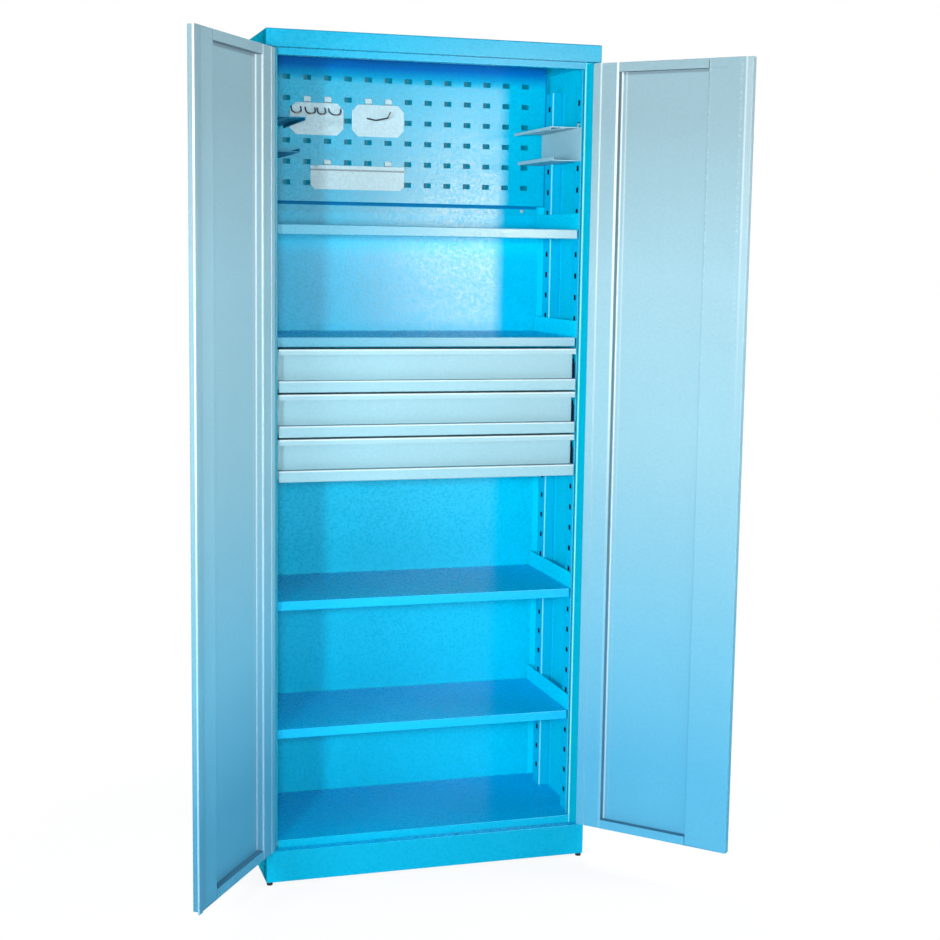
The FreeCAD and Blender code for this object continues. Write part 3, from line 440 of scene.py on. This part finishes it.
def panel_shade(nt, co, col):
    """painted shadow at the top under the rail and painted shade along the lower crease and side edges of the
    perforated panel
    """
    x = math_node(nt, "ABSOLUTE", math_node(nt, "SUBTRACT", axis(nt, co, 0), SHIFT.x))
    z = axis(nt, co, 2)
    col = mix(nt, rng(nt, z, 1.850, 1.884, 0.0, 0.9), col, (0.0, 0.075, 0.330))
    edge_shade = math_node(nt, "MAXIMUM", rng(nt, math_node(nt, "ABSOLUTE", math_node(nt, "SUBTRACT", z, 1.5605)), 0.0030, 0.0045, 0.85, 0.0),
                    rng(nt, x, PANEL_HALF - 0.0050, PANEL_HALF - 0.0035, 0.0, 0.75))
    return mix(nt, edge_shade, col, (0.0, 0.110, 0.300))


def dull_top(nt, co):
    """the paint is duller at the top and in the lower crease of the perforated panel"""
    z = axis(nt, co, 2)
    crease = rng(nt, math_node(nt, "ABSOLUTE", math_node(nt, "SUBTRACT", z, 1.5605)), 0.0035, 0.0050, 1.0, 0.0)
    return math_node(nt, "MAXIMUM", crease, rng(nt, z, 1.842, 1.866, 0.0, 1.0))


def panel_hollow(nt, co, col):
    """painted shade on the rear sheet where the perforated panel covers it, and a painted lighter band below the first
    shelf that fills in the shelf's shadow
    """
    z = axis(nt, co, 2)
    inner = rng(nt, math_node(nt, "SUBTRACT", axis(nt, co, 1), SHIFT.y), 0.3350, 0.3354, 1.0, 0.0)
    # painted light below the first shelf
    under = math_node(nt, "MULTIPLY", rng(nt, z, SHELF_1[0] - 0.050, SHELF_1[0] - 0.015, 0.0, 0.6), rng(nt, z, SHELF_1[1] - 0.041, SHELF_1[1] - 0.039, 1.0, 0.0))
    col = mix(nt, math_node(nt, "MULTIPLY", under, inner), col, (0.0, 0.500, 0.740))
    return mix(nt, math_node(nt, "MULTIPLY", inner, rng(nt, z, 1.562, 1.566, 0.0, 0.52)), col, (0.0, 0.02, 0.055))


def dull_hollow(nt, co):
    """the covered part of the rear sheet is duller"""
    inner = rng(nt, math_node(nt, "SUBTRACT", axis(nt, co, 1), SHIFT.y), 0.3350, 0.3354, 0.35, 0.0)
    return math_node(nt, "MULTIPLY", inner, rng(nt, axis(nt, co, 2), 1.562, 1.566, 0.0, 1.0))


def accessory_crease_shade(nt, co, col):
    """painted shade lines where tongues leave the plates and under the folded lip of the strip"""
    z = axis(nt, co, 2)
    dark = math_node(nt, "MAXIMUM", rng(nt, math_node(nt, "ABSOLUTE", math_node(nt, "SUBTRACT", z, 1.7972)), 0.0010, 0.0022, 0.75, 0.0),
                     rng(nt, math_node(nt, "ABSOLUTE", math_node(nt, "SUBTRACT", z, 1.6512)), 0.0010, 0.0022, 0.75, 0.0))
    dark = math_node(nt, "MAXIMUM", dark, rng(nt, math_node(nt, "ABSOLUTE", math_node(nt, "SUBTRACT", z, 1.6390)), 0.0010, 0.0026, 0.7, 0.0))
    return mix(nt, dark, col, (0.06, 0.10, 0.14))


BODY = dict(rough=0.285, grain=0.2, speckle=0.05)
WALL = dict(rough=0.285, grain=0.40, speckle=0.08)
DOOR = dict(rough=0.42, grain=0.2, speckle=0.03)
# door colour steps by height are painted light: palest and greyest around 1.0 to 1.4 m, darker and bluer towards the
# bottom, a little darker at the top
DOOR_LIGHT_STEPS = [(0.25, (0.055, 0.247, 0.385)), (0.56, (0.112, 0.337, 0.468)), (1.00, (0.198, 0.377, 0.452)),
              (1.40, (0.234, 0.394, 0.458)), (1.75, (0.219, 0.336, 0.379))]
# the right door's steps are a shaded copy of these: lighter at the bottom step, darker above it
RIGHT_DOOR_LIGHT_STEPS = [(h, tuple(k * g for k in c)) for (h, c), g in zip(DOOR_LIGHT_STEPS, (1.07, 0.90, 0.89, 0.885, 0.845))]
M["body_paint"] = powder_coat("body_powder_coat", (0.0, 0.345, 0.650), **BODY)
M["door_paint"] = powder_coat("door_powder_coat", DOOR_LIGHT_STEPS, **DOOR)
M["drawer_paint"] = powder_coat("drawer_powder_coat", (0.174, 0.342, 0.410), over=drawer_fold_highlights, **DOOR)
M["accessory_paint"] = powder_coat("accessory_powder_coat", (0.335, 0.520, 0.585), rough=0.36, grain=0.30, speckle=0.10, over=accessory_crease_shade)
right_door = powder_coat("right_door_powder_coat", RIGHT_DOOR_LIGHT_STEPS, over=door_fold_light_and_shade(1, 133.2), **DOOR)
left_door = powder_coat("left_door_powder_coat", DOOR_LIGHT_STEPS, over=door_fold_light_and_shade(-1, 123.6), **DOOR)
# front, plinth, floor, posts, uprights, shelves, walls, panel and low_shelves are lit and shaded copies of the one
# body paint: each base tone is set to how light falls on those parts
front = powder_coat("front_powder_coat", (0.0, 0.420, 0.610), over=front_face_shade, **BODY)
plinth = powder_coat("plinth_powder_coat", (0.0, 0.420, 0.610), over=plinth_top_light, **BODY)
floor = powder_coat("floor_powder_coat", (0.0, 0.385, 0.690), over=floor_lip_shade, **BODY)
posts = powder_coat("post_powder_coat", (0.0, 0.440, 0.640), over=post_fold_light_and_shade, rough=0.3, grain=0.08, speckle=0.025)
uprights = powder_coat("upright_powder_coat", (0.0, 0.385, 0.610), over=upright_fold_light_and_shade, rough=0.3, grain=0.08, speckle=0.025)
shelves = powder_coat("upper_shelf_powder_coat", (0.010, 0.480, 0.740), over=upper_lip_shade_and_sheen, **BODY)
walls = powder_coat("wall_powder_coat", (0.0, 0.370, 0.575), over=panel_hollow, matt=dull_hollow, **WALL)
panel = powder_coat("panel_powder_coat", (0.0, 0.335, 0.520), over=panel_shade, matt=dull_top, **WALL)
low_shelves = powder_coat("lower_shelf_powder_coat", (0.0, 0.420, 0.720), over=lower_lip_shade, **BODY)
# the left rack is a shaded copy of the rack paint, much darker for the shade it sits in
shaded_left_rack = powder_coat("left_rack_shaded_powder_coat", (0.000, 0.150, 0.280), rough=0.36, grain=0.25, speckle=0.06)
# the overlap strip is a shaded copy of the door steps, ten percent darker
overlap = powder_coat("overlap_powder_coat", [(h, tuple(k * 0.90 for k in c)) for h, c in DOOR_LIGHT_STEPS], over=strip_end_highlight, **DOOR)
# the right rack is a shaded copy of the accessory paint, a little darker
rack = powder_coat("rack_powder_coat", (0.240, 0.430, 0.500), rough=0.36, grain=0.25, speckle=0.06)
OWN = {"right_door_pan": right_door, "right_door_stiffener": right_door, "left_door_pan": left_door,
       "left_door_stiffener": left_door, "left_door_overlap_strip": overlap,
       "top_cap": front, "top_front_rail": front, "plinth": plinth, "floor_panel": floor,
       "left_side_panel": posts, "right_side_panel": posts,
       "left_front_upright": uprights, "left_rear_upright": uprights,
       "right_front_upright": uprights, "right_rear_upright": uprights,
       "shelf_1": shelves, "shelf_2": shelves, "shelf_3": low_shelves, "shelf_4": low_shelves,
       "rear_panel": walls, "tool_panel": panel, "side_rack_left": shaded_left_rack, "side_rack_right": rack}
M["zinc_steel"] = zinc("zinc_plated_steel")
# dark steel for the drawer rails and rod keepers; the blue-black tone is painted shade for the gaps beside the
# drawers, and on the rod keepers it stands in for their shaded holes
rails = zinc("steel_rails_in_painted_shade", (0.04, 0.10, 0.20), 0.5)
for n in (1, 2, 3):
    OWN["drawer_%d_inner_rails" % n] = OWN["drawer_%d_mid_rails" % n] = rails
OWN["drawer_outer_rails"] = OWN["rod_keepers"] = rails
M["hook_wire"] = zinc("burnished_wire", (0.10, 0.12, 0.14), 0.35)
M["barrel_metal"] = zinc("lock_barrel_metal", (0.68, 0.68, 0.70), 0.22)
M["black_plastic"] = plastic("black_plastic", (0.022, 0.022, 0.024), 0.45)
M["glide_plastic"] = plastic("glide_plastic", (0.012, 0.012, 0.014), 0.55)

for sp in frame["record"]["subparts"]:
    for ms in NODES[sp["node"]].material_slots:
        ms.material = OWN.get(sp["node"], M[sp["material_slot"]])

# ------------------------------------------------------------------ floor, fading to the white paper behind it
floor_me = bpy.data.meshes.new("floor")
s = 16.0
floor_me.from_pydata([(-s, -s, 0), (s, -s, 0), (s, s, 0), (-s, s, 0)], [], [(0, 1, 2, 3)])
floor_obj = bpy.data.objects.new("floor", floor_me)
scene.collection.objects.link(floor_obj)
floor_obj.visible_glossy = False
mt, nt, bsdf = new_mat("studio_floor")
co = coords(nt)
w = noise(nt, co, 1.2, 3.0, 0.5)
link(nt, ramp(nt, w, [(0.3, (0.90, 0.90, 0.90)), (0.7, (0.93, 0.93, 0.93))]), bsdf.inputs["Base Color"])
bsdf.inputs["Roughness"].default_value = 0.8
bsdf.inputs["Specular IOR Level"].default_value = 0.1
ln = nt.nodes.new("ShaderNodeVectorMath")
ln.operation = "LENGTH"
link(nt, co, ln.inputs[0])
far = rng(nt, ln.outputs["Value"], 0.4, 1.3, 0.86, 1.0)
lp = nt.nodes.new("ShaderNodeLightPath")
fac = math_node(nt, "MULTIPLY", far, lp.outputs["Is Camera Ray"])
em = nt.nodes.new("ShaderNodeEmission")
em.inputs["Strength"].default_value = 1.0
ms = nt.nodes.new("ShaderNodeMixShader")
link(nt, fac, ms.inputs[0])
link(nt, bsdf.outputs[0], ms.inputs[1])
link(nt, em.outputs[0], ms.inputs[2])
link(nt, ms.outputs[0], nt.nodes["Material Output"].inputs["Surface"])
floor_me.materials.append(mt)
